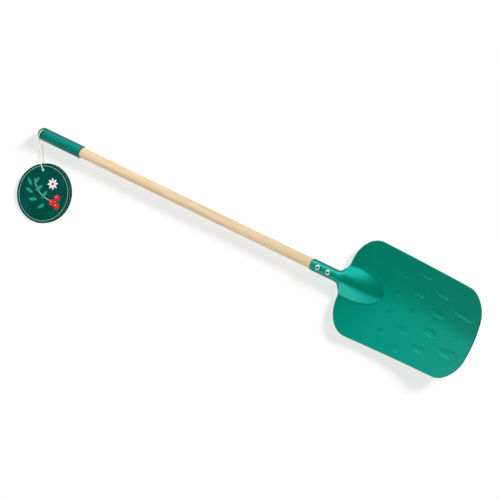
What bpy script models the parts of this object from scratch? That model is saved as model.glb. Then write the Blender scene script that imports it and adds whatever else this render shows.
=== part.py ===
"""A child's garden spade: a pressed steel blade with a rolled socket, a wooden dowel and a moulded grip.

The spade lies on its back along X with the blade at +X, the hollow of the blade up, the grip and the
back of the blade on the floor. A round two-leaf card tag lies beside the grip on its string loop.
"""

import math

import bmesh
import bpy
from mathutils import Matrix, Vector

MM = 0.001

# Fits
FIT_GAP = 0.3 * MM

# Handle, along X; its end and the neck of the blade are told from the middle of the whole length
HANDLE_LENGTH = 540.0 * MM
DOWEL_RADIUS = 7.5 * MM
DOWEL_CHAMFER = 0.8 * MM
DOWEL_SIDES = 40

# Grip sleeve
GRIP_LENGTH = 79.0 * MM
GRIP_RADIUS = 9.5 * MM
GRIP_SIDES = 36
GRIP_RIM_FILLET = 0.9 * MM
GRIP_SOLID_END = 16.5 * MM
HANG_HOLE_RADIUS = 1.8 * MM
HANG_HOLE_FROM_END = 10.5 * MM
HANG_HOLE_TILT = math.radians(32.0)

# Sheet steel and the socket rolled from it
SHEET = 1.1 * MM
SOCKET_LENGTH = 50.0 * MM
SOCKET_SEAM = 1.2 * MM
NECK_OPENING = 13.5 * MM
NECK_ARCH_TURN = math.radians(47.0)

# Blade outline, in plan, told from the neck
BLADE_LENGTH = 229.5 * MM
BLADE_HALF_WIDTH = 73.4 * MM
TIP_HALF_WIDTH = 68.7 * MM
SHOULDER_START = 3.5 * MM
SHOULDER_RUN = 36.5 * MM
SHOULDER_RISE = 48.0 * MM
NECK_FLARE_HALF_WIDTH = 16.5 * MM
NECK_FLARE_X = 2.3 * MM
NECK_FAN = 4.5 * MM
TIP_CORNER_RUN = 30.5 * MM
TIP_CORNER_RISE = 42.0 * MM
TIP_BOW = 8.0 * MM

# Blade form
LOWEST_FROM_NECK = 72.0 * MM
TIP_LIFT = 20.7 * MM
DISH_DEPTH = 9.0 * MM
CREASE_SHARE = 0.45
CREASE_SOFTNESS = 0.16

# Tongue: the arch that runs from the socket into the blade
TONGUE_LENGTH = 67.0 * MM
TONGUE_HALF_WIDTH = 23.5 * MM
TONGUE_FULL_WIDTH_TO = 18.0 * MM
TONGUE_RIDGE_SOFTNESS = 0.35
TONGUE_FALL_POWER = 0.6
TONGUE_FILLET = 0.8 * MM
TONGUE_ROOT_FILLET = 2.6 * MM

# Mesh of the blade
COLUMNS = 36
SOCKET_ROWS = 3
OPENING_ROWS = 12
SHOULDER_ROWS = 13
STRAIGHT_ROWS = 16
STRAIGHT_ROW_CROWDING = 1.5
TIP_ROWS = 9
MIDDLE_COLUMN_SHARE = 0.55
COLUMN_SPREAD_START = 45.0 * MM
COLUMN_SPREAD_RUN = 60.0 * MM

# Screws
SCREW_FROM_RIM = (14.4 * MM, 32.1 * MM)
SCREW_HEAD_RADIUS = 3.75 * MM
SCREW_HEAD_HEIGHT = 2.1 * MM
SCREW_SHANK_RADIUS = 1.5 * MM
SCREW_LENGTH = 12.0 * MM
SCREW_POINT = 2.5 * MM
SCREW_SIDES = 24
RECESS_HALF_LENGTH = 1.75 * MM
RECESS_HALF_WIDTH = 0.5 * MM
RECESS_DEPTH = 1.3 * MM

# Card tag: two leaves on one punched hole
TAG_RADIUS = 44.0 * MM
TAG_THICKNESS = 0.5 * MM
TAG_HOLE_RADIUS = 2.25 * MM
TAG_HOLE_FROM_CENTRE = 35.2 * MM
TAG_SIDES = 96
TAG_HOLE_SPOT = (-357.3 * MM, -48.6 * MM)
TAG_DIRECTION = math.radians(-64.0)
TAG_REAR_TURN = math.radians(5.5)
TAG_HOLE_LIFT = 2.7 * MM

# String loop, from the knot through the grip, over the front leaf, through the tag and back to the knot
STRING_RADIUS = 0.65 * MM
STRING_STEP = 2.1 * MM
KNOT_RADIUS = 1.5 * MM
KNOT_SPOT = (-375.5 * MM, -8.8 * MM, 1.75 * MM)
STRING_ROUTE = [
    (-375.2, -7.0, 1.32),
    (-374.6, -5.8, 1.36),
    (-374.3, -4.75, 2.05),
    (-374.25, -3.85, 3.4),
    (-374.25, -2.65, 5.26),
    (-374.25, 0.0, 9.5),
    (-374.25, 2.65, 13.74),
    (-374.25, 4.3, 16.4),
    (-374.3, 5.35, 18.6),
    (-374.6, 5.1, 20.9),
    (-375.3, 3.0, 22.3),
    (-376.0, 0.0, 21.9),
    (-376.9, -3.3, 20.2),
    (-377.7, -6.6, 17.7),
    (-378.4, -9.4, 14.2),
    (-379.0, -11.0, 10.2),
    (-379.5, -12.4, 6.8),
    (-379.6, -14.8, 3.7),
    (-379.2, -18.3, 1.5),
    (-378.0, -22.6, 0.75),
    (-376.0, -27.3, 0.75),
    (-373.0, -32.0, 0.95),
    (-369.4, -36.0, 2.3),
    (-365.6, -39.4, 4.3),
    (-362.2, -42.6, 5.7),
    (-359.7, -45.0, 6.05),
    (-358.0, -47.2, 5.5),
    (-357.3, -48.6, 3.4),
    (-358.0, -47.2, 1.25),
    (-359.7, -44.6, 0.75),
    (-361.6, -41.0, 0.75),
    (-363.6, -36.4, 0.75),
    (-366.6, -31.2, 0.75),
    (-370.8, -24.8, 0.75),
    (-374.3, -19.2, 0.75),
    (-375.9, -14.4, 1.0),
    (-375.7, -10.7, 1.6),
]

# Worked out from the sizes above
OVERALL_LENGTH = HANDLE_LENGTH + BLADE_LENGTH
GRIP_END_X = -OVERALL_LENGTH / 2
NECK_X = GRIP_END_X + HANDLE_LENGTH
SOCKET_RIM_X = NECK_X - SOCKET_LENGTH
AXIS_Z = GRIP_RADIUS * math.cos(math.pi / GRIP_SIDES)
SOCKET_RADIUS = DOWEL_RADIUS + FIT_GAP + SHEET / 2
SCREW_HEAD_Z = AXIS_Z + SOCKET_RADIUS + SHEET / 2 + FIT_GAP
BACK_CURVE_RADIUS = (BLADE_LENGTH - LOWEST_FROM_NECK) ** 2 / (2 * TIP_LIFT)


def clear_scene():
    for obj in list(bpy.data.objects):
        bpy.data.objects.remove(obj, do_unlink=True)


def new_material(name, color, roughness, metallic=0.0):
    material = bpy.data.materials.new(name)
    material.use_nodes = True
    shader = material.node_tree.nodes["Principled BSDF"]
    shader.inputs["Base Color"].default_value = (*color, 1.0)
    shader.inputs["Roughness"].default_value = roughness
    shader.inputs["Metallic"].default_value = metallic
    return material


def new_object(name, bm, material=None):
    mesh = bpy.data.meshes.new(name)
    bm.to_mesh(mesh)
    bm.free()
    obj = bpy.data.objects.new(name, mesh)
    bpy.context.scene.collection.objects.link(obj)
    if material:
        mesh.materials.append(material)
    return obj


def shade_round(obj, angle=35.0):
    obj.data.shade_smooth()
    obj.data.set_sharp_from_angle(angle=math.radians(angle))


def lathe(profile, sides, first_turn=0.0):
    """Turn (radius, height) points about Z; the profile runs up the outside and ends on the axis."""
    bm = bmesh.new()
    rings = []
    for radius, height in profile:
        if radius < 1e-9:
            rings.append([bm.verts.new((0.0, 0.0, height))])
            continue
        ring = []
        for i in range(sides):
            turn = first_turn + 2 * math.pi * i / sides
            ring.append(bm.verts.new((radius * math.cos(turn), radius * math.sin(turn), height)))
        rings.append(ring)
    for low, high in zip(rings, rings[1:]):
        for i in range(sides):
            j = (i + 1) % sides
            if len(low) == 1:
                bm.faces.new((low[0], high[j], high[i]))
            elif len(high) == 1:
                bm.faces.new((low[i], low[j], high[0]))
            else:
                bm.faces.new((low[i], low[j], high[j], high[i]))
    bmesh.ops.recalc_face_normals(bm, faces=bm.faces)
    return bm


def arc(centre_radius, centre_height, radius, start, end, steps):
    """Profile points on an arc; angles in degrees from the outward direction towards +Z."""
    points = []
    for i in range(steps + 1):
        turn = math.radians(start + (end - start) * i / steps)
        points.append((centre_radius + radius * math.cos(turn), centre_height + radius * math.sin(turn)))
    return points


def cutter(name, bm):
    obj = new_object(name, bm)
    obj.hide_render = True
    obj.display_type = "WIRE"
    return obj


def cut(obj, tool):
    modifier = obj.modifiers.new("cut_" + tool.name, "BOOLEAN")
    modifier.operation = "DIFFERENCE"
    modifier.solver = "EXACT"
    modifier.object = tool


def along_x(x):
    """Place a shape turned about Z so that its Z runs along +X on the handle's axis."""
    return Matrix.Translation((x, 0.0, AXIS_Z)) @ Matrix.Rotation(math.pi / 2, 4, "Y")


# Blade surface: the middle of the sheet, x told from the neck


def share_between(value, start, end):
    return min(1.0, max(0.0, (value - start) / (end - start)))


def smooth(share):
    return share * share * (3 - 2 * share)


def back_height(x):
    return SHEET / 2 + (x - LOWEST_FROM_NECK) ** 2 / (2 * BACK_CURVE_RADIUS)


def dish_height(y):
    """Hollow across the blade: part round, part a soft crease down the middle."""
    across = y / BLADE_HALF_WIDTH
    crease = math.hypot(across, CREASE_SOFTNESS) - CREASE_SOFTNESS
    crease_at_edge = math.hypot(1.0, CREASE_SOFTNESS) - CREASE_SOFTNESS
    return DISH_DEPTH * ((1 - CREASE_SHARE) * across**2 + CREASE_SHARE * crease / crease_at_edge)


def tongue_half_width(x):
    narrowing = share_between(x, TONGUE_FULL_WIDTH_TO, TONGUE_LENGTH)
    return TONGUE_HALF_WIDTH * math.sqrt(1 - narrowing**2)


def tongue_height(x, y):
    """A ridge with a soft top, straight flanks and filleted feet, dying out at the tongue's end."""
    if x >= TONGUE_LENGTH:
        return 0.0
    flank = math.hypot(y / tongue_half_width(x), TONGUE_RIDGE_SOFTNESS) - TONGUE_RIDGE_SOFTNESS
    flank_at_foot = math.hypot(1.0, TONGUE_RIDGE_SOFTNESS) - TONGUE_RIDGE_SOFTNESS
    fall = math.cos(math.pi / 2 * share_between(x, 0.0, TONGUE_LENGTH)) ** TONGUE_FALL_POWER
    full = AXIS_Z + SOCKET_RADIUS - back_height(0.0)
    height = full * fall * (1 - flank / flank_at_foot)
    near_root = 1 - share_between(x, 0.0, TONGUE_FULL_WIDTH_TO)
    fillet = (TONGUE_FILLET + (TONGUE_ROOT_FILLET - TONGUE_FILLET) * near_root) * math.sqrt(fall)
    return (height + math.hypot(height, fillet)) / 2


def blade_height(x, y):
    return back_height(x) + dish_height(y) + tongue_height(x, y)


def side_half_width(x):
    """Half-width of the straight sides, from the end of the shoulder to the start of the tip corner."""
    start = SHOULDER_START + SHOULDER_RUN
    end = BLADE_LENGTH - TIP_BOW - TIP_CORNER_RUN
    share = (x - start) / (end - start)
    return BLADE_HALF_WIDTH + (TIP_HALF_WIDTH - BLADE_HALF_WIDTH) * share


def tip_edge_x(y):
    """The blade's end: a bowed edge with an elliptical corner at each side."""
    beyond = share_between(abs(y), TIP_HALF_WIDTH - TIP_CORNER_RISE, TIP_HALF_WIDTH)
    corner = TIP_CORNER_RUN * (1 - math.sqrt(1 - beyond**2))
    return BLADE_LENGTH - TIP_BOW * (y / TIP_HALF_WIDTH) ** 2 - corner


def columns():
    """Places across the sheet, from one edge at -1 to the other at 1."""
    return [2 * i / COLUMNS - 1 for i in range(COLUMNS + 1)]


def column_y(a, x, edge_y):
    """Half of the columns lie over the tongue, and where the blade is wide one follows its edge."""
    size = abs(a)
    plain = edge_y * size * (MIDDLE_COLUMN_SHARE + (1 - MIDDLE_COLUMN_SHARE) * size * size)
    spread = smooth(share_between(x, COLUMN_SPREAD_START, COLUMN_SPREAD_START + COLUMN_SPREAD_RUN))
    inner = math.hypot(tongue_half_width(x), TONGUE_HALF_WIDTH * spread)
    led = inner * 2 * size
    if size > 0.5:
        led = inner + (edge_y - inner) * (2 * size - 1)
    wide = smooth(share_between(edge_y, NECK_FLARE_HALF_WIDTH, NECK_FLARE_HALF_WIDTH + TONGUE_HALF_WIDTH))
    return math.copysign(plain + (led - plain) * wide, a)


def blade_row(middle_x, edge_x, edge_y, bow):
    """One row of points across the blade, from edge to edge."""
    row = []
    for a in columns():
        y = column_y(a, middle_x, edge_y)
        x = middle_x + (edge_x - middle_x) * bow(y / edge_y)
        row.append((x, y, blade_height(x, y)))
    return row


def arc_row(middle_x, edge_x, half_width, half_turn):
    """One row across the rolled sheet: an arc under the top line, closed when half_turn is near pi."""
    radius = half_width / math.sin(min(half_turn, math.pi / 2))
    top = AXIS_Z + SOCKET_RADIUS
    row = []
    for a in columns():
        turn = a * half_turn
        x = middle_x + (edge_x - middle_x) * a * a
        row.append((x, radius * math.sin(turn), top - radius * (1 - math.cos(turn))))
    return row


def square_bow(share):
    return share * share


def blade_rows():
    rows = []
    shoulder_x = SHOULDER_START + SHOULDER_RUN
    straight_end = BLADE_LENGTH - TIP_BOW - TIP_CORNER_RUN
    centre_y = BLADE_HALF_WIDTH - SHOULDER_RISE
    fan_middle = NECK_FLARE_X + NECK_FAN
    closed = math.pi - math.asin(SOCKET_SEAM / 2 / SOCKET_RADIUS)
    for i in range(SOCKET_ROWS):
        x = -SOCKET_LENGTH + (SOCKET_LENGTH - NECK_OPENING) * i / SOCKET_ROWS
        rows.append(arc_row(x, x, SOCKET_RADIUS, closed))
    first_blade_row = blade_row(fan_middle, NECK_FLARE_X, NECK_FLARE_HALF_WIDTH, square_bow)
    for i in range(OPENING_ROWS):
        share = i / OPENING_ROWS
        middle = -NECK_OPENING + (fan_middle + NECK_OPENING) * share
        edge = -NECK_OPENING + (NECK_FLARE_X + NECK_OPENING) * (1 - (1 - share) ** 1.5)
        half_width = SOCKET_RADIUS + (NECK_FLARE_HALF_WIDTH - SOCKET_RADIUS) * share**3
        half_turn = closed + (NECK_ARCH_TURN - closed) * smooth(share)
        row = []
        for rolled, pressed in zip(arc_row(middle, edge, half_width, half_turn), first_blade_row):
            y = rolled[1] + (pressed[1] - rolled[1]) * share**2
            z = rolled[2] + (pressed[2] - rolled[2]) * share**2
            row.append((rolled[0], y, z))
        rows.append(row)
    flare_turn = math.atan2(NECK_FLARE_HALF_WIDTH - centre_y, SHOULDER_RISE)
    for i in range(SHOULDER_ROWS):
        share = i / SHOULDER_ROWS
        middle = fan_middle + (shoulder_x - fan_middle) * share
        turn = flare_turn + (math.pi / 2 - flare_turn) * share**0.8
        edge_y = centre_y + SHOULDER_RISE * math.sin(turn)
        edge_x = shoulder_x - SHOULDER_RUN * math.cos(turn)
        if turn < 0.0:
            edge_x = SHOULDER_START + (NECK_FLARE_X - SHOULDER_START) * (turn / flare_turn) ** 2
        rows.append(blade_row(middle, edge_x, edge_y, square_bow))
    for i in range(STRAIGHT_ROWS):
        x = shoulder_x + (straight_end - shoulder_x) * (i / STRAIGHT_ROWS) ** STRAIGHT_ROW_CROWDING
        rows.append(blade_row(x, x, side_half_width(x), square_bow))
    last_turn = math.radians(48.0)
    last_y = TIP_HALF_WIDTH - TIP_CORNER_RISE + TIP_CORNER_RISE * math.cos(last_turn)
    last_x = tip_edge_x(last_y)

    def tip_bow(share):
        return 1 - (tip_edge_x(last_y * share) - last_x) / (BLADE_LENGTH - last_x)

    for i in range(TIP_ROWS + 1):
        turn = last_turn * i / TIP_ROWS
        edge_y = TIP_HALF_WIDTH - TIP_CORNER_RISE * (1 - math.cos(turn))
        middle = straight_end + (BLADE_LENGTH - straight_end) * i / TIP_ROWS
        rows.append(blade_row(middle, tip_edge_x(edge_y), edge_y, tip_bow))
    return rows


def build_blade(material, tools):
    bm = bmesh.new()
    grid = []
    for row in blade_rows():
        grid.append([bm.verts.new((NECK_X + x, y, z)) for x, y, z in row])
    for near, far in zip(grid, grid[1:]):
        for i in range(COLUMNS):
            bm.faces.new((near[i], far[i], far[i + 1], near[i + 1]))
    blade = new_object("blade", bm, material)
    thickness = blade.modifiers.new("sheet", "SOLIDIFY")
    thickness.thickness = SHEET
    thickness.offset = 0.0
    for tool in tools:
        cut(blade, tool)
    shade_round(blade, 50.0)
    return blade


def screw_holes():
    """One round cutter for each screw, through the socket's front wall and into the dowel."""
    depth = SCREW_LENGTH + 1.5 * MM
    radius = SCREW_SHANK_RADIUS + FIT_GAP
    tools = []
    for number, from_rim in enumerate(SCREW_FROM_RIM, 1):
        bottom = SCREW_HEAD_Z - depth
        top = SCREW_HEAD_Z + SHEET
        bm = lathe([(0.0, bottom), (radius, bottom), (radius, top), (0.0, top)], SCREW_SIDES)
        bm.transform(Matrix.Translation((SOCKET_RIM_X + from_rim, 0.0, 0.0)))
        tools.append(cutter("screw_hole_%d" % number, bm))
    return tools


def build_dowel(material, tools):
    length = HANDLE_LENGTH - GRIP_SOLID_END - FIT_GAP - NECK_OPENING - FIT_GAP
    narrow = DOWEL_RADIUS - DOWEL_CHAMFER
    profile = [
        (0.0, 0.0),
        (narrow, 0.0),
        (DOWEL_RADIUS, DOWEL_CHAMFER),
        (DOWEL_RADIUS, length - DOWEL_CHAMFER),
        (narrow, length),
        (0.0, length),
    ]
    bm = lathe(profile, DOWEL_SIDES)
    bm.transform(along_x(GRIP_END_X + GRIP_SOLID_END + FIT_GAP))
    dowel = new_object("handle_dowel", bm, material)
    for tool in tools:
        cut(dowel, tool)
    shade_round(dowel)
    return dowel


def build_grip(material):
    bore = DOWEL_RADIUS + FIT_GAP
    profile = [(0.0, 0.0)]
    profile += arc(0.0, GRIP_RADIUS, GRIP_RADIUS, -80.0, 0.0, 8)
    profile += arc(GRIP_RADIUS - GRIP_RIM_FILLET, GRIP_LENGTH - GRIP_RIM_FILLET, GRIP_RIM_FILLET, 0.0, 90.0, 3)
    profile += [(bore, GRIP_LENGTH), (bore, GRIP_SOLID_END), (0.0, GRIP_SOLID_END)]
    bm = lathe(profile, GRIP_SIDES, math.pi / GRIP_SIDES)
    bm.transform(along_x(GRIP_END_X))
    grip = new_object("grip_sleeve", bm, material)
    reach = GRIP_RADIUS * 1.3
    hole = lathe([(0.0, -reach), (HANG_HOLE_RADIUS, -reach), (HANG_HOLE_RADIUS, reach), (0.0, reach)], 16)
    hole.transform(Matrix.Rotation(-HANG_HOLE_TILT, 4, "X"))
    hole.transform(Matrix.Translation((GRIP_END_X + HANG_HOLE_FROM_END, 0.0, AXIS_Z)))
    cut(grip, cutter("hang_hole", hole))
    shade_round(grip)
    return grip


def recess_shape():
    """A tapered cross, its top at z = 0."""
    bm = bmesh.new()
    long, wide = RECESS_HALF_LENGTH, RECESS_HALF_WIDTH
    quarter = [(long, -wide), (long, wide), (wide, wide)]
    outline = []
    for turns in range(4):
        spin = Matrix.Rotation(math.pi / 2 * turns, 3, "Z")
        outline += [spin @ Vector((x, y, 0.0)) for x, y in quarter]
    top = [bm.verts.new((p.x, p.y, RECESS_DEPTH)) for p in outline]
    floor = [bm.verts.new((p.x * 0.55, p.y * 0.55, -RECESS_DEPTH)) for p in outline]
    bm.faces.new(top)
    bm.faces.new(reversed(floor))
    for i in range(len(top)):
        j = (i + 1) % len(top)
        bm.faces.new((floor[i], floor[j], top[j], top[i]))
    return bm


def build_screws(material):
    edge = 0.7 * MM
    profile = [(0.0, -SCREW_LENGTH), (SCREW_SHANK_RADIUS, SCREW_POINT - SCREW_LENGTH)]
    profile += [(SCREW_SHANK_RADIUS, 0.0), (SCREW_HEAD_RADIUS, 0.0)]
    profile += arc(SCREW_HEAD_RADIUS - edge, SCREW_HEAD_HEIGHT * 0.8 - edge, edge, 0.0, 70.0, 3)
    profile += [(SCREW_HEAD_RADIUS * 0.45, SCREW_HEAD_HEIGHT * 0.97), (0.0, SCREW_HEAD_HEIGHT)]
    recess = recess_shape()
    recess.transform(Matrix.Translation((0.0, 0.0, SCREW_HEAD_HEIGHT)))
    screws = []
    for number, name in enumerate(("screw_rear", "screw_front")):
        place = Matrix.Translation((SOCKET_RIM_X + SCREW_FROM_RIM[number], 0.0, SCREW_HEAD_Z))
        bm = lathe(profile, SCREW_SIDES)
        bm.transform(place)
        screw = new_object(name, bm, material)
        tool = recess.copy()
        tool.transform(place @ Matrix.Rotation(math.radians(20.0 + 35.0 * number), 4, "Z"))
        cut(screw, cutter("recess_" + name, tool))
        shade_round(screw, 30.0)
        screws.append(screw)
    recess.free()
    return screws


def tag_frame(turn, height):
    """X runs from the hole to the leaf's middle, and the leaf slopes down to the floor at its far edge."""
    slope = math.asin(TAG_HOLE_LIFT / (TAG_RADIUS + TAG_HOLE_FROM_CENTRE))
    place = Matrix.Translation((*TAG_HOLE_SPOT, TAG_HOLE_LIFT + 0.05 * MM))
    heading = Matrix.Rotation(TAG_DIRECTION, 4, "Z")
    tilt = Matrix.Rotation(slope, 4, "Y")
    return place @ heading @ tilt @ Matrix.Rotation(turn, 4, "Z") @ Matrix.Translation((0.0, 0.0, height))


def build_leaf(name, material, frame):
    top = TAG_THICKNESS
    bm = lathe([(0.0, 0.0), (TAG_RADIUS, 0.0), (TAG_RADIUS, top), (0.0, top)], TAG_SIDES)
    bm.transform(frame @ Matrix.Translation((TAG_HOLE_FROM_CENTRE, 0.0, 0.0)))
    leaf = new_object(name, bm, material)
    low, high = -2 * top, 3 * top
    hole = lathe([(0.0, low), (TAG_HOLE_RADIUS, low), (TAG_HOLE_RADIUS, high), (0.0, high)], 20)
    hole.transform(frame)
    cut(leaf, cutter("hole_" + name, hole))
    shade_round(leaf)
    return leaf


def rounded_line(points, step):
    """Points at about even steps along a smooth curve through the route's own points."""
    ends = [points[0] * 2 - points[1]] + points + [points[-1] * 2 - points[-2]]
    fine = []
    for before, start, end, after in zip(ends, ends[1:], ends[2:], ends[3:]):
        for i in range(12):
            t = i / 12
            fine.append(
                0.5
                * (
                    2 * start
                    + (end - before) * t
                    + (2 * before - 5 * start + 4 * end - after) * t**2
                    + (3 * start - before - 3 * end + after) * t**3
                )
            )
    fine.append(points[-1])
    total = sum((b - a).length for a, b in zip(fine, fine[1:]))
    count = round(total / step)
    line, gone, wanted = [fine[0]], 0.0, 1
    for a, b in zip(fine, fine[1:]):
        span = (b - a).length
        while wanted < count and gone + span >= wanted * total / count:
            line.append(a.lerp(b, (wanted * total / count - gone) / span))
            wanted += 1
        gone += span
    line.append(fine[-1])
    return line


def build_string(material):
    route = [Vector(point) * MM for point in STRING_ROUTE]
    line = rounded_line(route, STRING_STEP)
    curve = bpy.data.curves.new("tag_string", "CURVE")
    curve.dimensions = "3D"
    curve.bevel_depth = STRING_RADIUS
    curve.bevel_resolution = 2
    curve.use_fill_caps = True
    spline = curve.splines.new("POLY")
    spline.points.add(len(line) - 1)
    for point, place in zip(spline.points, line):
        point.co = (*place, 1.0)
    curve.materials.append(material)
    string = bpy.data.objects.new("tag_string", curve)
    bpy.context.scene.collection.objects.link(string)
    return string


def build_knot(material):
    bm = bmesh.new()
    bmesh.ops.create_icosphere(bm, subdivisions=2, radius=KNOT_RADIUS)
    bm.transform(Matrix.Translation(KNOT_SPOT))
    knot = new_object("string_knot", bm, material)
    shade_round(knot)
    return knot


def build_spade():
    clear_scene()
    paint = new_material("blade_paint", (0.0, 0.29, 0.2), 0.35)
    wood = new_material("pale_wood", (0.78, 0.58, 0.36), 0.6)
    grip_plastic = new_material("grip_plastic", (0.0, 0.19, 0.13), 0.5)
    bright_steel = new_material("bright_steel", (0.75, 0.76, 0.78), 0.25, 1.0)
    card = new_material("dark_card", (0.0, 0.06, 0.04), 0.45)
    cotton = new_material("pale_cord", (0.82, 0.84, 0.72), 0.8)
    tools = screw_holes()
    build_blade(paint, tools)
    build_dowel(wood, tools)
    build_grip(grip_plastic)
    build_screws(bright_steel)
    build_leaf("tag_rear", card, tag_frame(TAG_REAR_TURN, 0.0))
    build_leaf("tag_front", card, tag_frame(0.0, TAG_THICKNESS + FIT_GAP))
    build_string(cotton)
    build_knot(cotton)


build_spade()
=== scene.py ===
"""The looks of a child's garden spade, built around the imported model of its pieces.

Everything is in metres, in the model's own frame: the spade lies on its back along X with the grip at -X,
the hollow of the blade up and the floor at z = 0. The card tag lies beside the grip on its string loop.
"""

import math

import bmesh
import bpy
import numpy as np
from mathutils import Matrix, Vector


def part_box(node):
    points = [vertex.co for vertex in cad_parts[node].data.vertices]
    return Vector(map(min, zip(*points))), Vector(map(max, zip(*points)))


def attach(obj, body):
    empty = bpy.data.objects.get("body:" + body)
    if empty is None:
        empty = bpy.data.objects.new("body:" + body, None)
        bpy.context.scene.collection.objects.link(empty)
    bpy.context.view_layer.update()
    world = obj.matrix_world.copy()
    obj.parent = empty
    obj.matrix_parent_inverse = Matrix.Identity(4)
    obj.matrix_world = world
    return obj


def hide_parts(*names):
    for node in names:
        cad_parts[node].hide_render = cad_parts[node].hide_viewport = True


MM = 0.001
BODY = "root"

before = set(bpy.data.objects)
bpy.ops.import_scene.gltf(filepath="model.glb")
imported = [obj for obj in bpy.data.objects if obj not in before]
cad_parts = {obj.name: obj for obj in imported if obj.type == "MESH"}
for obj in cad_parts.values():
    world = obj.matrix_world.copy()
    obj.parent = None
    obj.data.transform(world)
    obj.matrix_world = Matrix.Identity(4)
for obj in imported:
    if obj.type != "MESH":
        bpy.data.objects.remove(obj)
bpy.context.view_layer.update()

# Places read from the model
BLADE_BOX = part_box("blade")
DOWEL_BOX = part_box("handle_dowel")
GRIP_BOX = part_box("grip_sleeve")
SOCKET_RIM_X = BLADE_BOX[0].x
GRIP_END_X = GRIP_BOX[0].x
AXIS_Z = (DOWEL_BOX[0].z + DOWEL_BOX[1].z) / 2
DOWEL_RADIUS = (DOWEL_BOX[1].z - DOWEL_BOX[0].z) / 2

# Camera: the photograph's view, far off with a long lens
VIEW_TO_TIP = math.radians(25.0)
VIEW_TO_SIDE = math.radians(6.5)
VIEW_ROLL = math.radians(25.94)
VIEW_TARGET = Vector((-21.51, -27.84, -50.44)) * MM
VIEW_DISTANCE = 6.0
PICTURE_PIXELS = 500
METRES_PER_PIXEL = 1.45 * MM
SENSOR = 36.0
NEAREST_SEEN = 0.1
FARTHEST_SEEN = 50.0

# Softboxes: name, place, width, height and how bright the face shows; all aim at one place on the blade
SOFTBOXES = [
    ("softbox_top", (-0.95, 0.27, 1.55), 1.2, 1.5, 2.05),
    ("softbox_left", (-0.5, 1.33, 1.1), 1.0, 0.8, 7.6),
    ("softbox_left_low", (-0.76, 1.55, 0.5), 0.7, 0.7, 5.0),
    ("softbox_right", (-0.4, -1.55, 0.81), 0.8, 0.8, 3.5),
    ("softbox_right_high", (0.1, -1.42, 1.12), 1.0, 0.8, 3.4),
    ("softbox_tip", (0.98, -1.28, 0.95), 1.0, 0.8, 3.4),
    ("softbox_key", (0.83, 1.49, 0.58), 0.4, 0.4, 13.0),
]
LIGHT_TARGET = Vector((0.15, 0.0, 0.0))

# Floor and room: the low sun gives a share of the floor's white, and a glow gives the rest
WHITE = (1.0, 1.0, 1.0, 1.0)
ROOM_LIGHT = 0.02
FLOOR_HALF_SIZE = 15.0
FLOOR_BOUNCE = 0.8
FLOOR_WHITE = 0.9
FLOOR_SUN_SHARE = 0.24
SUN_HEIGHT = math.radians(23.0)
SUN_HEADING = math.radians(46.0)
SUN_SPREAD = math.radians(14.0)

# Fits
FIT_GAP = 0.3 * MM

# Sheet steel, its socket and the blade; x is told from the neck of the blade
SHEET = 1.1 * MM
EDGE = SHEET / 2
SOCKET_LENGTH = 50.0 * MM
SOCKET_SEAM = 1.2 * MM
SOCKET_RADIUS = DOWEL_RADIUS + FIT_GAP + SHEET / 2
NECK_OPENING = 13.5 * MM
NECK_ARCH_TURN = math.radians(47.0)
NECK_FLARE_HALF_WIDTH = 16.5 * MM
NECK_FLARE_X = 2.3 * MM
NECK_FAN = 4.5 * MM
BLADE_LENGTH = 229.5 * MM
BLADE_HALF_WIDTH = 73.4 * MM
TIP_HALF_WIDTH = 68.7 * MM
SHOULDER_START = 3.5 * MM
SHOULDER_RUN = 36.5 * MM
SHOULDER_RISE = 48.0 * MM
TIP_CORNER_RUN = 30.5 * MM
TIP_CORNER_RISE = 42.0 * MM
TIP_BOW = 8.0 * MM
LOWEST_FROM_NECK = 72.0 * MM
TIP_LIFT = 20.7 * MM
DISH_DEPTH = 9.0 * MM
CREASE_SHARE = 0.45
CREASE_SOFTNESS = 0.16
TONGUE_LENGTH = 67.0 * MM
TONGUE_HALF_WIDTH = 23.5 * MM
TONGUE_FULL_WIDTH_TO = 18.0 * MM
TONGUE_RIDGE_SOFTNESS = 0.35
TONGUE_FALL_POWER = 0.6
TONGUE_FILLET = 0.8 * MM
TONGUE_ROOT_FILLET = 2.6 * MM
NECK_X = SOCKET_RIM_X + SOCKET_LENGTH
BACK_CURVE_RADIUS = (BLADE_LENGTH - LOWEST_FROM_NECK) ** 2 / (2 * TIP_LIFT)

# Mesh of the blade
COLUMNS = 280
SOCKET_ROWS = 24
OPENING_ROWS = 24
SHOULDER_ROWS = 44
STRAIGHT_ROWS = 210
TIP_ROWS = 36
RIM_STEPS = 5
TIP_MESH_TURN = math.radians(48.0)

# Drop-shaped dimples pressed into the blade: middle x from the neck, y, length, width and depth
DIMPLES = [
    (85.5, 14.7, 14.0, 6.6, 0.34),
    (85.5, 42.9, 18.0, 6.4, 0.34),
    (118.5, 0.0, 15.0, 8.4, 0.4),
    (117.0, 29.0, 24.0, 9.4, 0.47),
    (116.5, 57.0, 27.0, 9.6, 0.5),
    (156.0, 14.9, 28.0, 11.4, 0.58),
    (152.0, 43.0, 31.0, 10.4, 0.55),
    (196.0, 29.9, 46.0, 14.0, 0.7),
]
DIMPLE_LEAN = 0.56
DIMPLE_END_SHARE = 0.9
DIMPLE_WALL_POWER = 3
DIMPLE_RIM_POWER = 1.4

# Handle dowel
DOWEL_ROUND_OFF = 0.8 * MM
DOWEL_SIDES = 80
DOWEL_STEPS = 24

# Grip sleeve
GRIP_RADIUS = (GRIP_BOX[1].z - GRIP_BOX[0].z) / 2
GRIP_LENGTH = 79.0 * MM
GRIP_SOLID_END = 16.5 * MM
GRIP_RIM_FILLET = 0.9 * MM
GRIP_SOFT_EDGE = 0.25 * MM
GRIP_SIDES = 96
GRIP_STEPS = 12
DOME_START = -86.0
HANG_HOLE_RADIUS = 1.8 * MM
HANG_HOLE_FROM_END = 10.5 * MM
HANG_HOLE_TILT = math.radians(32.0)

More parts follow.
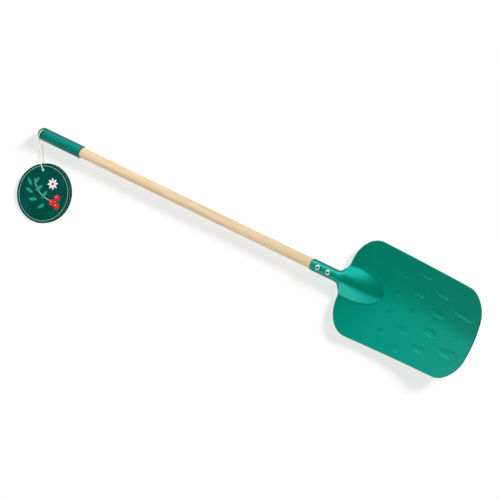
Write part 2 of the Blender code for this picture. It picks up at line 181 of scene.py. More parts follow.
# Screws
SCREW_FROM_RIM = (14.4 * MM, 32.1 * MM)
SCREW_HEAD_RADIUS = 3.75 * MM
SCREW_HEAD_HEIGHT = 2.1 * MM
SCREW_SHANK_RADIUS = 1.5 * MM
SCREW_LENGTH = 12.0 * MM
SCREW_POINT = 2.5 * MM
SCREW_HEAD_CHAMFER = 0.15 * MM
SCREW_HEAD_ROUNDING = 0.75 * MM
SCREW_CROWN_SHARE = 0.18
SCREW_SIDES = 40
SCREW_SHANK_STEPS = 96
SCREW_HOLE_SPARE = 1.5 * MM
RECESS_REACH = 2.3 * MM
RECESS_HALF_WIDTH = 0.78 * MM
RECESS_CORNER_SHARE = 1.7
RECESS_DEPTH = 1.35 * MM
SCREW_TURNS = (math.radians(20.0), math.radians(55.0))
SCREW_HEAD_Z = AXIS_Z + SOCKET_RADIUS + SHEET / 2 + FIT_GAP
THREAD_PITCH = 1.1 * MM
THREAD_DEPTH = 0.28 * MM

# Card tag
TAG_RADIUS = 44.0 * MM
TAG_THICKNESS = 0.5 * MM
TAG_HOLE_FROM_CENTRE = 35.2 * MM
TAG_HOLE_SPOT = (-357.3 * MM, -48.6 * MM)
TAG_DIRECTION = math.radians(-64.0)
TAG_HOLE_LIFT = 2.7 * MM
TAG_FLOOR_GAP = 0.05 * MM

# Print on the tag: places in mm from the leaf's middle, right and up with the hole at the top
PRINT_FLATNESS = 1000.0
SPRIG_LEAVES = [
    ((-22.0, 19.0), (6.5, 2.6), math.radians(118.0)),
    ((-10.5, 19.5), (6.5, 2.6), math.radians(48.0)),
    ((-23.0, 6.0), (7.0, 2.8), math.radians(146.0)),
    ((-6.5, 8.5), (7.0, 2.8), math.radians(30.0)),
    ((-17.5, -7.5), (7.0, 2.8), math.radians(178.0)),
    ((1.5, -2.0), (7.0, 2.8), math.radians(50.0)),
    ((-4.0, -18.5), (6.5, 2.6), math.radians(205.0)),
]
BACKGROUND_LEAVES = [
    ((26.0, -14.0), (9.0, 3.4), math.radians(60.0)),
    ((14.0, -30.0), (9.0, 3.4), math.radians(20.0)),
    ((-30.0, -14.0), (8.0, 3.2), math.radians(100.0)),
    ((4.0, 30.0), (7.0, 2.8), math.radians(160.0)),
    ((31.0, 14.0), (7.0, 2.8), math.radians(95.0)),
]
STEM_CENTRE = (26.0, 26.0)
STEM_RADIUS = 40.0
STEM_HALF_WIDTH = 0.55
STEM_SHOWS_IN = ((-4.0, 0.0), (30.0, 24.0), 0.0)
VEIN_SHARE = 0.8
VEIN_HALF_WIDTH = 0.22
BERRIES = [(14.0, -14.5), (22.5, -8.0), (21.0, -20.0)]
BERRY_RADIUS = 4.6
GLINT_OFFSET = (-1.4, 1.6)
GLINT_HALF_SIZE = (0.9, 0.7)
GLINT_TURN = 0.5
DAISY = (16.0, 13.0)
DAISY_EYE_RADIUS = 2.3
PETALS = 8
PETAL_OUT = 5.2
PETAL_HALF_SIZE = (3.4, 1.5)
BORDER_RADIUS = 40.6
BORDER_HALF_WIDTH = 0.35

# String loop, from the knot through the grip, over the front leaf, through the tag and back to the knot
STRING_RADIUS = 0.65 * MM
STRING_STEP = 0.4 * MM
STRING_TURNS_PER_METRE = 260.0
STRING_LOBE_SHARE = 0.13
STRING_SIDES = 20
KNOT_SPOT = Vector((-375.5, -8.8, 1.75)) * MM
KNOT_SCALE = 0.36 * MM
KNOT_STEPS = 90
KNOT_CORD_SHARE = 0.9
TAIL_STEPS = 13
TAIL_CORD_SHARE = 0.8
STRING_ROUTE = [
    (-375.2, -7.0, 1.32),
    (-374.6, -5.8, 1.36),
    (-374.3, -4.75, 2.05),
    (-374.25, -3.85, 3.4),
    (-374.25, -2.65, 5.26),
    (-374.25, 0.0, 9.5),
    (-374.25, 2.65, 13.74),
    (-374.25, 4.3, 16.4),
    (-374.3, 5.35, 18.6),
    (-374.6, 5.1, 20.9),
    (-375.3, 3.0, 22.3),
    (-376.0, 0.0, 21.9),
    (-376.9, -3.3, 20.2),
    (-377.7, -6.6, 17.7),
    (-378.4, -9.4, 14.2),
    (-379.0, -11.0, 10.2),
    (-379.5, -12.4, 6.8),
    (-379.6, -14.8, 3.7),
    (-379.2, -18.3, 1.5),
    (-378.0, -22.6, 0.75),
    (-376.0, -27.3, 0.75),
    (-373.0, -32.0, 0.95),
    (-369.4, -36.0, 2.3),
    (-365.6, -39.4, 4.3),
    (-362.2, -42.6, 5.7),
    (-359.7, -45.0, 6.05),
    (-358.0, -47.2, 5.5),
    (-357.3, -48.6, 3.4),
    (-358.0, -47.2, 1.25),
    (-359.7, -44.6, 0.75),
    (-361.6, -41.0, 0.75),
    (-363.6, -36.4, 0.75),
    (-366.6, -31.2, 0.75),
    (-370.8, -24.8, 0.75),
    (-374.3, -19.2, 0.75),
    (-375.9, -14.4, 1.0),
    (-375.7, -10.7, 1.6),
]


# Camera, lights and floor


def view_axes():
    """Right, up and towards the camera, as unit vectors."""
    side = math.cos(VIEW_TO_TIP)
    back = Vector((math.sin(VIEW_TO_TIP), side * math.sin(VIEW_TO_SIDE), side * math.cos(VIEW_TO_SIDE)))
    along = Vector((1.0, 0.0, 0.0))
    along = (along - back * along.dot(back)).normalized()
    across = along.cross(back)
    right = along * math.cos(VIEW_ROLL) - across * math.sin(VIEW_ROLL)
    down = along * math.sin(VIEW_ROLL) + across * math.cos(VIEW_ROLL)
    return right, -down, back


def make_camera():
    right, up, back = view_axes()
    data = bpy.data.cameras.new("camera")
    data.sensor_width = SENSOR
    data.lens = SENSOR * VIEW_DISTANCE / (METRES_PER_PIXEL * PICTURE_PIXELS)
    data.clip_start = NEAREST_SEEN
    data.clip_end = FARTHEST_SEEN
    camera = bpy.data.objects.new("camera", data)
    bpy.context.scene.collection.objects.link(camera)
    turn = Matrix((right, up, back)).transposed().to_4x4()
    camera.matrix_world = Matrix.Translation(VIEW_TARGET + back * VIEW_DISTANCE) @ turn
    bpy.context.scene.camera = camera


def make_softbox(name, place, width, height, brightness, lit):
    """An area light aimed at the blade, whose face shows as this bright; lit says what it lights."""
    data = bpy.data.lights.new(name, "AREA")
    data.shape = "RECTANGLE"
    data.size = width
    data.size_y = height
    data.energy = brightness * math.pi * width * height
    lamp = bpy.data.objects.new(name, data)
    bpy.context.scene.collection.objects.link(lamp)
    lamp.location = place
    lamp.rotation_mode = "QUATERNION"
    lamp.rotation_quaternion = (LIGHT_TARGET - Vector(place)).to_track_quat("-Z", "Y")
    lamp.light_linking.receiver_collection = lit


def sees_background(tree):
    """1 for the rays that see the white background: the camera's own and mirrored or refracted ones."""
    path = tree.nodes.new("ShaderNodeLightPath")
    seen = path.outputs["Is Camera Ray"]
    for name in ("Is Glossy Ray", "Is Transmission Ray"):
        either = tree.nodes.new("ShaderNodeMath")
        either.operation = "MAXIMUM"
        tree.links.new(seen, either.inputs[0])
        tree.links.new(path.outputs[name], either.inputs[1])
        seen = either.outputs[0]
    return seen


def linked_to(name, obj, state):
    """A collection for light linking that takes this object in or leaves it out."""
    linked = bpy.data.collections.new(name)
    linked.objects.link(obj)
    linked.collection_objects[0].light_linking.link_state = state
    return linked


def make_lights(floor):
    """Softboxes that light all but the floor, and a low soft sun that lights the floor alone."""
    spade = linked_to("lit_by_softboxes", floor, "EXCLUDE")
    for softbox in SOFTBOXES:
        make_softbox(*softbox, spade)
    data = bpy.data.lights.new("low_sun", "SUN")
    data.energy = FLOOR_SUN_SHARE / FLOOR_WHITE * math.pi / math.sin(SUN_HEIGHT)
    data.angle = SUN_SPREAD
    sun = bpy.data.objects.new("low_sun", data)
    bpy.context.scene.collection.objects.link(sun)
    sun.rotation_euler = (0.0, math.pi / 2 - SUN_HEIGHT, SUN_HEADING)
    sun.light_linking.receiver_collection = linked_to("lit_by_sun", floor, "INCLUDE")


def make_room():
    """A world that shows as white and lights the spade only a little."""
    world = bpy.data.worlds.new("studio")
    bpy.context.scene.world = world
    world.use_nodes = True
    tree = world.node_tree
    light = tree.nodes["Background"]
    light.inputs["Color"].default_value = WHITE
    light.inputs["Strength"].default_value = ROOM_LIGHT
    seen = tree.nodes.new("ShaderNodeBackground")
    seen.inputs["Color"].default_value = WHITE
    seen.inputs["Strength"].default_value = 1.0
    mix = tree.nodes.new("ShaderNodeMixShader")
    tree.links.new(sees_background(tree), mix.inputs[0])
    tree.links.new(light.outputs[0], mix.inputs[1])
    tree.links.new(seen.outputs[0], mix.inputs[2])
    tree.links.new(mix.outputs[0], tree.nodes["World Output"].inputs["Surface"])


def make_floor():
    """A white floor that keeps the spade's soft shadow: the sun and a glow together show as white."""
    bm = bmesh.new()
    bmesh.ops.create_grid(bm, x_segments=1, y_segments=1, size=FLOOR_HALF_SIZE)
    floor = new_object("floor", bm)
    material = bpy.data.materials.new("white_floor")
    material.use_nodes = True
    tree = material.node_tree
    tree.nodes.remove(tree.nodes["Principled BSDF"])
    plain = tree.nodes.new("ShaderNodeBsdfDiffuse")
    plain.inputs["Color"].default_value = (FLOOR_BOUNCE, FLOOR_BOUNCE, FLOOR_BOUNCE, 1.0)
    shade = tree.nodes.new("ShaderNodeBsdfDiffuse")
    shade.inputs["Color"].default_value = (FLOOR_WHITE, FLOOR_WHITE, FLOOR_WHITE, 1.0)
    glow = tree.nodes.new("ShaderNodeEmission")
    glow.inputs["Color"].default_value = WHITE
    glow.inputs["Strength"].default_value = 1.0 - FLOOR_SUN_SHARE
    both = tree.nodes.new("ShaderNodeAddShader")
    mix = tree.nodes.new("ShaderNodeMixShader")
    tree.links.new(shade.outputs[0], both.inputs[0])
    tree.links.new(glow.outputs[0], both.inputs[1])
    tree.links.new(sees_background(tree), mix.inputs[0])
    tree.links.new(plain.outputs[0], mix.inputs[1])
    tree.links.new(both.outputs[0], mix.inputs[2])
    tree.links.new(mix.outputs[0], tree.nodes["Material Output"].inputs["Surface"])
    floor.data.materials.append(material)
    return floor


# Materials


class Shader:
    """A Principled material and short names for the nodes that feed it."""

    def __init__(self, name, color, roughness, metallic=0.0, specular=0.5, tint=(1.0, 1.0, 1.0)):
        self.material = bpy.data.materials.new(name)
        self.material.use_nodes = True
        self.tree = self.material.node_tree
        self.surface = self.tree.nodes["Principled BSDF"]
        self.surface.inputs["Base Color"].default_value = (*color, 1.0)
        self.surface.inputs["Roughness"].default_value = roughness
        self.surface.inputs["Metallic"].default_value = metallic
        self.surface.inputs["Specular IOR Level"].default_value = specular
        self.surface.inputs["Specular Tint"].default_value = (*tint, 1.0)
        self.place = self.tree.nodes.new("ShaderNodeTexCoord").outputs["Object"]

    def node(self, kind, inputs, **settings):
        node = self.tree.nodes.new(kind)
        for name, value in settings.items():
            setattr(node, name, value)
        for name, value in inputs.items():
            if isinstance(value, bpy.types.NodeSocket):
                self.tree.links.new(value, node.inputs[name])
            else:
                node.inputs[name].default_value = value
        return node

    def stretched(self, scale):
        """The place on the piece, scaled along each axis."""
        return self.node("ShaderNodeMapping", {"Vector": self.place, "Scale": scale}).outputs[0]

    def noise(self, scale, detail, roughness=0.5, place=None):
        inputs = {"Vector": place or self.place, "Scale": scale, "Detail": detail, "Roughness": roughness}
        return self.node("ShaderNodeTexNoise", inputs).outputs["Fac"]

    def span(self, value, low, high, to_low, to_high):
        """The value brought from one range to another, and kept within it."""
        inputs = {"Value": value, "From Min": low, "From Max": high, "To Min": to_low, "To Max": to_high}
        return self.node("ShaderNodeMapRange", inputs).outputs[0]

    def combine(self, first, second, kind="ADD"):
        return self.node("ShaderNodeMath", {0: first, 1: second}, operation=kind).outputs[0]

    def blend(self, share, first, second):
        """Mix of two colours, each a socket or three numbers."""
        node = self.tree.nodes.new("ShaderNodeMix")
        node.data_type = "RGBA"
        for socket, value in ((node.inputs[0], share), (node.inputs[6], first), (node.inputs[7], second)):
            if isinstance(value, bpy.types.NodeSocket):
                self.tree.links.new(value, socket)
            else:
                socket.default_value = (*value, 1.0) if isinstance(value, tuple) else value
        return node.outputs[2]

    def placed(self, vector, location, rotation, scale):
        """The vector told in a frame with this place, turn and scale."""
        inputs = {"Vector": vector, "Location": location, "Rotation": rotation, "Scale": scale}
        return self.node("ShaderNodeMapping", inputs, vector_type="TEXTURE").outputs[0]

    def reach(self, place, middle, half, turn):
        """Distance from a middle in a flat print, as a share of the half sizes."""
        local = self.placed(place, (*middle, 0.0), (0.0, 0.0, turn), (*half, PRINT_FLATNESS))
        return self.node("ShaderNodeVectorMath", {0: local}, operation="LENGTH").outputs["Value"]

    def oval(self, place, middle, half, turn, soft=0.04):
        """1 inside an oval of a print, 0 outside."""
        return self.span(self.reach(place, middle, half, turn), 1.0 - soft, 1.0 + soft, 1.0, 0.0)

    def ring(self, place, middle, radius, half_width):
        """1 along a thin printed circle, 0 elsewhere."""
        away = self.combine(self.reach(place, middle, (1.0, 1.0), 0.0), radius, "SUBTRACT")
        away = self.node("ShaderNodeMath", {0: away}, operation="ABSOLUTE").outputs[0]
        return self.span(away, half_width * 0.8, half_width * 1.2, 1.0, 0.0)

    def feed(self, name, socket):
        self.tree.links.new(socket, self.surface.inputs[name])

    def bump(self, height, depth):
        """Bump from a height of 0 to 1 that stands for this many metres."""
        node = self.node("ShaderNodeBump", {"Height": height, "Distance": depth, "Strength": 1.0})
        self.feed("Normal", node.outputs[0])


def blade_paint():
    """Teal powder coat on steel: satin, with a fine orange peel."""
    paint = Shader("blade_paint", (0.0, 0.115, 0.06), 0.28, specular=0.8, tint=(0.0, 1.0, 0.9))
    cloud = paint.noise(14.0, 3.0)
    share = paint.span(cloud, 0.3, 0.7, 0.0, 1.0)
    paint.feed("Base Color", paint.blend(share, (0.0, 0.11, 0.057), (0.0, 0.12, 0.063)))
    peel = paint.noise(480.0, 1.0)
    grit = paint.noise(2600.0, 1.0)
    paint.feed("Roughness", paint.span(paint.combine(peel, cloud), 0.6, 1.4, 0.26, 0.32))
    paint.bump(paint.combine(peel, paint.span(grit, 0.0, 1.0, 0.0, 0.1)), 0.006 * MM)
    return paint.material


def pale_wood():
    """Clear-lacquered birch: faint growth bands, and long fibres and short flecks in darker tones."""
    wood = Shader("pale_wood", (0.72, 0.56, 0.35), 0.6, specular=0.2)
    band = wood.noise(1.0, 3.0, 0.6, wood.stretched((9.0, 160.0, 160.0)))
    fibre = wood.noise(1.0, 4.0, 0.6, wood.stretched((26.0, 1500.0, 1500.0)))
    fleck = wood.noise(1.0, 1.0, 0.5, wood.stretched((260.0, 2600.0, 2600.0)))
    color = wood.blend(wood.span(band, 0.3, 0.72, 0.0, 1.0), (0.78, 0.63, 0.41), (0.65, 0.485, 0.285))
    color = wood.blend(wood.span(fibre, 0.35, 0.75, 0.0, 0.35), color, (0.54, 0.375, 0.2))
    color = wood.blend(wood.span(fleck, 0.66, 0.8, 0.0, 0.35), color, (0.46, 0.29, 0.15))
    wood.feed("Base Color", color)
    wood.feed("Roughness", wood.span(fibre, 0.3, 0.7, 0.55, 0.7))
    wood.bump(fibre, 0.05 * MM)
    return wood.material


def grip_plastic():
    """Moulded plastic with a fine spark-eroded texture."""
    plastic = Shader("grip_plastic", (0.0, 0.068, 0.044), 0.36, specular=0.8, tint=(0.0, 1.0, 0.85))
    cloud = plastic.noise(60.0, 3.0)
    plastic.feed("Base Color", plastic.blend(cloud, (0.0, 0.057, 0.037), (0.0, 0.08, 0.052)))
    grain = plastic.noise(2300.0, 3.0, 0.6)
    plastic.feed("Roughness", plastic.span(grain, 0.3, 0.7, 0.32, 0.42))
    plastic.bump(grain, 0.06 * MM)
    return plastic.material


def recess_painted_shade():
    """Painted shade: steel of the cross recess, made dark to stand for the shade that falls inside it."""
    steel = Shader("recess_painted_shade", (0.05, 0.052, 0.058), 0.5, 1.0)
    steel.feed("Roughness", steel.span(steel.noise(1500.0, 3.0), 0.3, 0.7, 0.4, 0.6))
    return steel.material


def bright_steel():
    """Zinc-plated steel, faintly smeared."""
    steel = Shader("bright_steel", (0.4, 0.41, 0.43), 0.22, 1.0)
    smear = steel.noise(900.0, 3.0)
    steel.feed("Roughness", steel.span(smear, 0.3, 0.7, 0.16, 0.3))
    steel.bump(steel.noise(3000.0, 2.0), 0.01 * MM)
    return steel.material


def card(name):
    """Dark green card with a silky varnish over its fibres."""
    paper = Shader(name, (0.0, 0.046, 0.031), 0.4, specular=0.12, tint=(0.1, 1.0, 0.85))
    paper.bump(paper.noise(900.0, 4.0, 0.65), 0.02 * MM)
    return paper


def plain_card():
    """The leaves' bare sides."""
    paper = card("dark_card_back")
    fibre = paper.noise(700.0, 4.0, 0.65)
    paper.feed("Base Color", paper.blend(fibre, (0.0, 0.038, 0.027), (0.0, 0.054, 0.038)))
    return paper.material


def cut_card():
    """The pale core that shows at the card's cut edge."""
    core = Shader("card_core", (0.72, 0.76, 0.7), 0.8, specular=0.1)
    core.feed("Base Color", core.blend(core.noise(1500.0, 3.0), (0.6, 0.66, 0.6), (0.8, 0.83, 0.77)))
    return core.material


def printed_card():
    """The front leaf's face: a sprig, berries, a daisy and a thin ring, printed on dark green."""
    paper = card("printed_card")
    face = tag_frame(TAG_THICKNESS + FIT_GAP) @ Matrix.Translation((TAG_HOLE_FROM_CENTRE, 0.0, 0.0))
    face = face @ Matrix.Rotation(math.pi / 2, 4, "Z")
    place = paper.placed(paper.place, face.to_translation(), face.to_euler(), (MM, MM, MM))
    ground = paper.blend(paper.noise(260.0, 3.0), (0.0, 0.038, 0.027), (0.0, 0.056, 0.039))
    for middle, half, turn in BACKGROUND_LEAVES:
        ground = paper.blend(paper.oval(place, middle, half, turn, 0.5), ground, (0.0, 0.07, 0.06))
    border = paper.ring(place, (0.0, 0.0), BORDER_RADIUS, BORDER_HALF_WIDTH)
    color = paper.blend(border, ground, (0.25, 0.5, 0.4))
    whole_ring = paper.ring(place, STEM_CENTRE, STEM_RADIUS, STEM_HALF_WIDTH)
    stem = paper.combine(whole_ring, paper.oval(place, *STEM_SHOWS_IN), "MULTIPLY")
    color = paper.blend(stem, color, (0.42, 0.52, 0.3))
    for middle, half, turn in SPRIG_LEAVES:
        color = paper.blend(paper.oval(place, middle, half, turn), color, (0.0, 0.24, 0.17))
        vein = paper.oval(place, middle, (half[0] * VEIN_SHARE, VEIN_HALF_WIDTH), turn)
        color = paper.blend(vein, color, (0.2, 0.5, 0.38))
    for middle in BERRIES:
        berry = paper.oval(place, middle, (BERRY_RADIUS, BERRY_RADIUS), 0.0)
        color = paper.blend(berry, color, (0.68, 0.012, 0.016))
        spot = (middle[0] + GLINT_OFFSET[0], middle[1] + GLINT_OFFSET[1])
        glint = paper.oval(place, spot, GLINT_HALF_SIZE, GLINT_TURN)
        color = paper.blend(glint, color, (0.9, 0.6, 0.55))
    for petal in range(PETALS):
        turn = math.tau * petal / PETALS
        middle = (DAISY[0] + PETAL_OUT * math.cos(turn), DAISY[1] + PETAL_OUT * math.sin(turn))
        color = paper.blend(paper.oval(place, middle, PETAL_HALF_SIZE, turn), color, (0.85, 0.87, 0.82))
    eye = paper.oval(place, DAISY, (DAISY_EYE_RADIUS, DAISY_EYE_RADIUS), 0.0)
    color = paper.blend(eye, color, (0.68, 0.02, 0.02))
    paper.feed("Base Color", color)
    return paper.material


def pale_cord():
    """Off-white cotton cord with a fine fuzz."""
    cord = Shader("pale_cord", (0.93, 0.94, 0.82), 0.75, specular=0.2)
    fuzz = cord.noise(2600.0, 3.0, 0.6)
    cord.feed("Base Color", cord.blend(fuzz, (0.9, 0.91, 0.77), (0.97, 0.97, 0.88)))
    cord.bump(fuzz, 0.05 * MM)
    return cord.material


# Mesh tools


def new_object(name, bm, material=None):
    mesh = bpy.data.meshes.new(name)
    bm.to_mesh(mesh)
    bm.free()
    return link_mesh(name, mesh, material)


def link_mesh(name, mesh, material=None):
    obj = bpy.data.objects.new(name, mesh)
    bpy.context.scene.collection.objects.link(obj)
    if material:
        mesh.materials.append(material)
    return obj


def dress(obj, slot, *nodes):
    """The piece joins the body and hides the CAD nodes it stands for; slot is not used."""
    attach(obj, BODY)
    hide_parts(*nodes)
    return obj


def shade_round(obj, degrees):
    obj.data.shade_smooth()
    obj.data.set_sharp_from_angle(angle=math.radians(degrees))


def apply_modifiers(obj):
    """Replace the object's mesh by what its modifiers make of it."""
    evaluated = obj.evaluated_get(bpy.context.evaluated_depsgraph_get())
    mesh = bpy.data.meshes.new_from_object(evaluated)
    obj.modifiers.clear()
    obj.data = mesh


def cut_out(obj, *cutters):
    """Cut each of the cutters' meshes out of the object, and remove the cutters."""
    for cutter in cutters:
        modifier = obj.modifiers.new("cut", "BOOLEAN")
        modifier.operation = "DIFFERENCE"
        modifier.solver = "EXACT"
        modifier.material_mode = "TRANSFER"
        modifier.object = cutter
    apply_modifiers(obj)
    for cutter in cutters:
        bpy.data.objects.remove(cutter, do_unlink=True)


def lathe(profile, sides):
    """Turn (radius, height) points about Z; the profile runs up the outside and ends on the axis."""
    bm = bmesh.new()
    rings = []
    for radius, height in profile:
        if radius < 1e-9:
            rings.append([bm.verts.new((0.0, 0.0, height))])
            continue
        ring = []
        for i in range(sides):
            turn = 2 * math.pi * i / sides
            ring.append(bm.verts.new((radius * math.cos(turn), radius * math.sin(turn), height)))
        rings.append(ring)
    for low, high in zip(rings, rings[1:]):
        for i in range(sides):
            j = (i + 1) % sides
            if len(low) == 1:
                bm.faces.new((low[0], high[j], high[i]))
            elif len(high) == 1:
                bm.faces.new((low[i], low[j], high[0]))
            else:
                bm.faces.new((low[i], low[j], high[j], high[i]))
    bmesh.ops.recalc_face_normals(bm, faces=bm.faces)
    return bm


def arc(centre_radius, centre_height, radius, start, end, steps):
    """Profile points on an arc; angles in degrees from the outward direction towards +Z."""
    points = []
    for i in range(steps + 1):
        turn = math.radians(start + (end - start) * i / steps)
        points.append((centre_radius + radius * math.cos(turn), centre_height + radius * math.sin(turn)))
    return points


def along_x(x):
    """Place a shape turned about Z so that its Z runs along +X on the handle's axis."""
    return Matrix.Translation((x, 0.0, AXIS_Z)) @ Matrix.Rotation(math.pi / 2, 4, "Y")


# Blade


def share_between(value, start, end):
    return np.clip((value - start) / (end - start), 0.0, 1.0)


def smooth(share):
    return share * share * (3 - 2 * share)


def back_height(x):
    return SHEET / 2 + (x - LOWEST_FROM_NECK) ** 2 / (2 * BACK_CURVE_RADIUS)


def dish_height(y):
    """Hollow across the blade: part round, part a soft crease down the middle."""
    across = y / BLADE_HALF_WIDTH
    crease = np.hypot(across, CREASE_SOFTNESS) - CREASE_SOFTNESS
    crease_at_edge = math.hypot(1.0, CREASE_SOFTNESS) - CREASE_SOFTNESS
    return DISH_DEPTH * ((1 - CREASE_SHARE) * across**2 + CREASE_SHARE * crease / crease_at_edge)


def tongue_height(x, y):
    """The ridge that runs on from the socket: a round top, even flanks and a fillet along its foot."""
    narrowing = share_between(x, TONGUE_FULL_WIDTH_TO, TONGUE_LENGTH)
    half_width = np.maximum(TONGUE_HALF_WIDTH * np.sqrt(1 - narrowing**2), 0.2 * MM)
    flank = np.hypot(y / half_width, TONGUE_RIDGE_SOFTNESS) - TONGUE_RIDGE_SOFTNESS
    flank_at_foot = math.hypot(1.0, TONGUE_RIDGE_SOFTNESS) - TONGUE_RIDGE_SOFTNESS
    fall = np.cos(math.pi / 2 * share_between(x, 0.0, TONGUE_LENGTH)) ** TONGUE_FALL_POWER
    full = AXIS_Z + SOCKET_RADIUS - back_height(0.0)
    height = full * fall * np.maximum(1 - flank / flank_at_foot, -3.0)
    near_root = 1 - share_between(x, 0.0, TONGUE_FULL_WIDTH_TO)
    fillet = (TONGUE_FILLET + (TONGUE_ROOT_FILLET - TONGUE_FILLET) * near_root) * np.sqrt(fall)
    return (height + np.hypot(height, fillet)) / 2


def dimple_depth(x, y):
    """How far the dimples press the sheet down: drops with the point towards the neck, steep towards -Y."""
    depth = np.zeros(np.broadcast(x, y).shape)
    for middle, aside, length, width, deepest in DIMPLES:
        end_run = DIMPLE_END_SHARE * width * MM
        round_x = (middle + length / 2) * MM - end_run
        point_x = (middle - length / 2) * MM
        swell = np.sin(math.pi / 2 * share_between(x, point_x, round_x))
        for side in sorted({aside, -aside}):
            off = (y - side * MM) / (width / 2 * MM * np.maximum(swell, 1e-4)) + DIMPLE_LEAN
            off = off / np.where(off > 0.0, 1 + DIMPLE_LEAN, 1 - DIMPLE_LEAN)
            beyond = np.maximum(0.0, x - round_x) / end_run
            reach = np.hypot(off, beyond)
            bowl = np.clip(1 - reach**DIMPLE_WALL_POWER, 0.0, 1.0) ** DIMPLE_RIM_POWER
            depth += deepest * MM * bowl * swell
    return depth


def blade_height(x, y):
    return back_height(x) + dish_height(y) + tongue_height(x, y) - dimple_depth(x, y)


def tip_edge_x(y):
    """The blade's end: a bowed edge with an elliptical corner at each side."""
    beyond = share_between(np.abs(y), TIP_HALF_WIDTH - TIP_CORNER_RISE, TIP_HALF_WIDTH - EDGE)
    corner = (TIP_CORNER_RUN - EDGE) * (1 - np.sqrt(1 - beyond**2))
    return BLADE_LENGTH - EDGE - TIP_BOW * (y / TIP_HALF_WIDTH) ** 2 - corner


def column_share(a):
    """Spread of the columns over the blade's width, a little closer together over the tongue."""
    return a * (0.8 + 0.2 * a * a)


def square_bow(share):
    return share * share


def blade_row(middle_x, edge_x, edge_y, bow):
    """One row of points across the blade, from edge to edge."""
    share = column_share(np.linspace(-1.0, 1.0, COLUMNS + 1))
    y = edge_y * share
    x = middle_x + (edge_x - middle_x) * bow(share)
    return np.stack([x, y, blade_height(x, y)], axis=1)


def arc_row(middle_x, edge_x, half_width, half_turn):
    """One row across the rolled sheet: an arc under the top line, closed when half_turn is near pi."""
    a = np.linspace(-1.0, 1.0, COLUMNS + 1)
    radius = half_width / math.sin(min(half_turn, math.pi / 2))
    x = middle_x + (edge_x - middle_x) * a * a
    z = AXIS_Z + SOCKET_RADIUS - radius * (1 - np.cos(a * half_turn))
    return np.stack([x, radius * np.sin(a * half_turn), z], axis=1)


def blade_grid():
    """Points in the middle of the sheet, row by row from the socket's rim to the tip.

    The outermost ones lie half a sheet in from the edges, which the mesh rounds off.
    """
    rows = []
    shoulder_x = SHOULDER_START + SHOULDER_RUN
    straight_end = BLADE_LENGTH - TIP_BOW - TIP_CORNER_RUN
    centre_y = BLADE_HALF_WIDTH - SHOULDER_RISE
    fan_middle = NECK_FLARE_X + NECK_FAN
    flare_half_width = NECK_FLARE_HALF_WIDTH - EDGE / 2
    flare_x = NECK_FLARE_X + EDGE / 2
    closed = math.pi - (SOCKET_SEAM / 2 + EDGE) / SOCKET_RADIUS
    for x in np.linspace(EDGE - SOCKET_LENGTH, -NECK_OPENING, SOCKET_ROWS, endpoint=False):
        rows.append(arc_row(x, x, SOCKET_RADIUS, closed))
    first_blade_row = blade_row(fan_middle, flare_x, flare_half_width, square_bow)
    for share in np.linspace(0.0, 1.0, OPENING_ROWS, endpoint=False):
        middle = -NECK_OPENING + (fan_middle + NECK_OPENING) * share
        edge = -NECK_OPENING + (flare_x + NECK_OPENING) * (1 - (1 - share) ** 1.5)
        half_width = SOCKET_RADIUS + (flare_half_width - SOCKET_RADIUS) * share**3
        half_turn = closed + (NECK_ARCH_TURN - closed) * smooth(share)
        row = arc_row(middle, edge, half_width, half_turn)
        row[:, 1:] += (first_blade_row - row)[:, 1:] * share**2
        rows.append(row)
    flare_turn = math.atan2(flare_half_width - centre_y, SHOULDER_RISE - EDGE)
    for share in np.linspace(0.0, 1.0, SHOULDER_ROWS, endpoint=False):
        middle = fan_middle + (shoulder_x - fan_middle) * share
        turn = flare_turn + (math.pi / 2 - flare_turn) * share**0.8
        edge_y = centre_y + (SHOULDER_RISE - EDGE) * math.sin(turn)
        edge_x = shoulder_x - (SHOULDER_RUN - EDGE) * math.cos(turn)
        if turn < 0.0:
            start = SHOULDER_START + EDGE
            edge_x = start + (flare_x - start) * (turn / flare_turn) ** 2
        rows.append(blade_row(middle, edge_x, edge_y, square_bow))
    for share in np.linspace(0.0, 1.0, STRAIGHT_ROWS, endpoint=False):
        x = shoulder_x + (straight_end - shoulder_x) * share
        half_width = BLADE_HALF_WIDTH + (TIP_HALF_WIDTH - BLADE_HALF_WIDTH) * share - EDGE
        rows.append(blade_row(x, x, half_width, square_bow))
    last_y = TIP_HALF_WIDTH - EDGE - (TIP_CORNER_RISE - EDGE) * (1 - math.cos(TIP_MESH_TURN))
    last_x = tip_edge_x(last_y)
    end_x = BLADE_LENGTH - EDGE

    def tip_bow(share):
        return 1 - (tip_edge_x(last_y * share) - last_x) / (end_x - last_x)

    for share in np.linspace(0.0, 1.0, TIP_ROWS + 1):
        edge_y = TIP_HALF_WIDTH - EDGE - (TIP_CORNER_RISE - EDGE) * (1 - math.cos(TIP_MESH_TURN * share))
        middle = straight_end + (end_x - straight_end) * share
        rows.append(blade_row(middle, float(tip_edge_x(edge_y)), edge_y, tip_bow))
    grid = np.array(rows)
    grid[:, :, 0] += NECK_X
    return grid


def unit(vectors):
    return vectors / np.linalg.norm(vectors, axis=-1, keepdims=True)


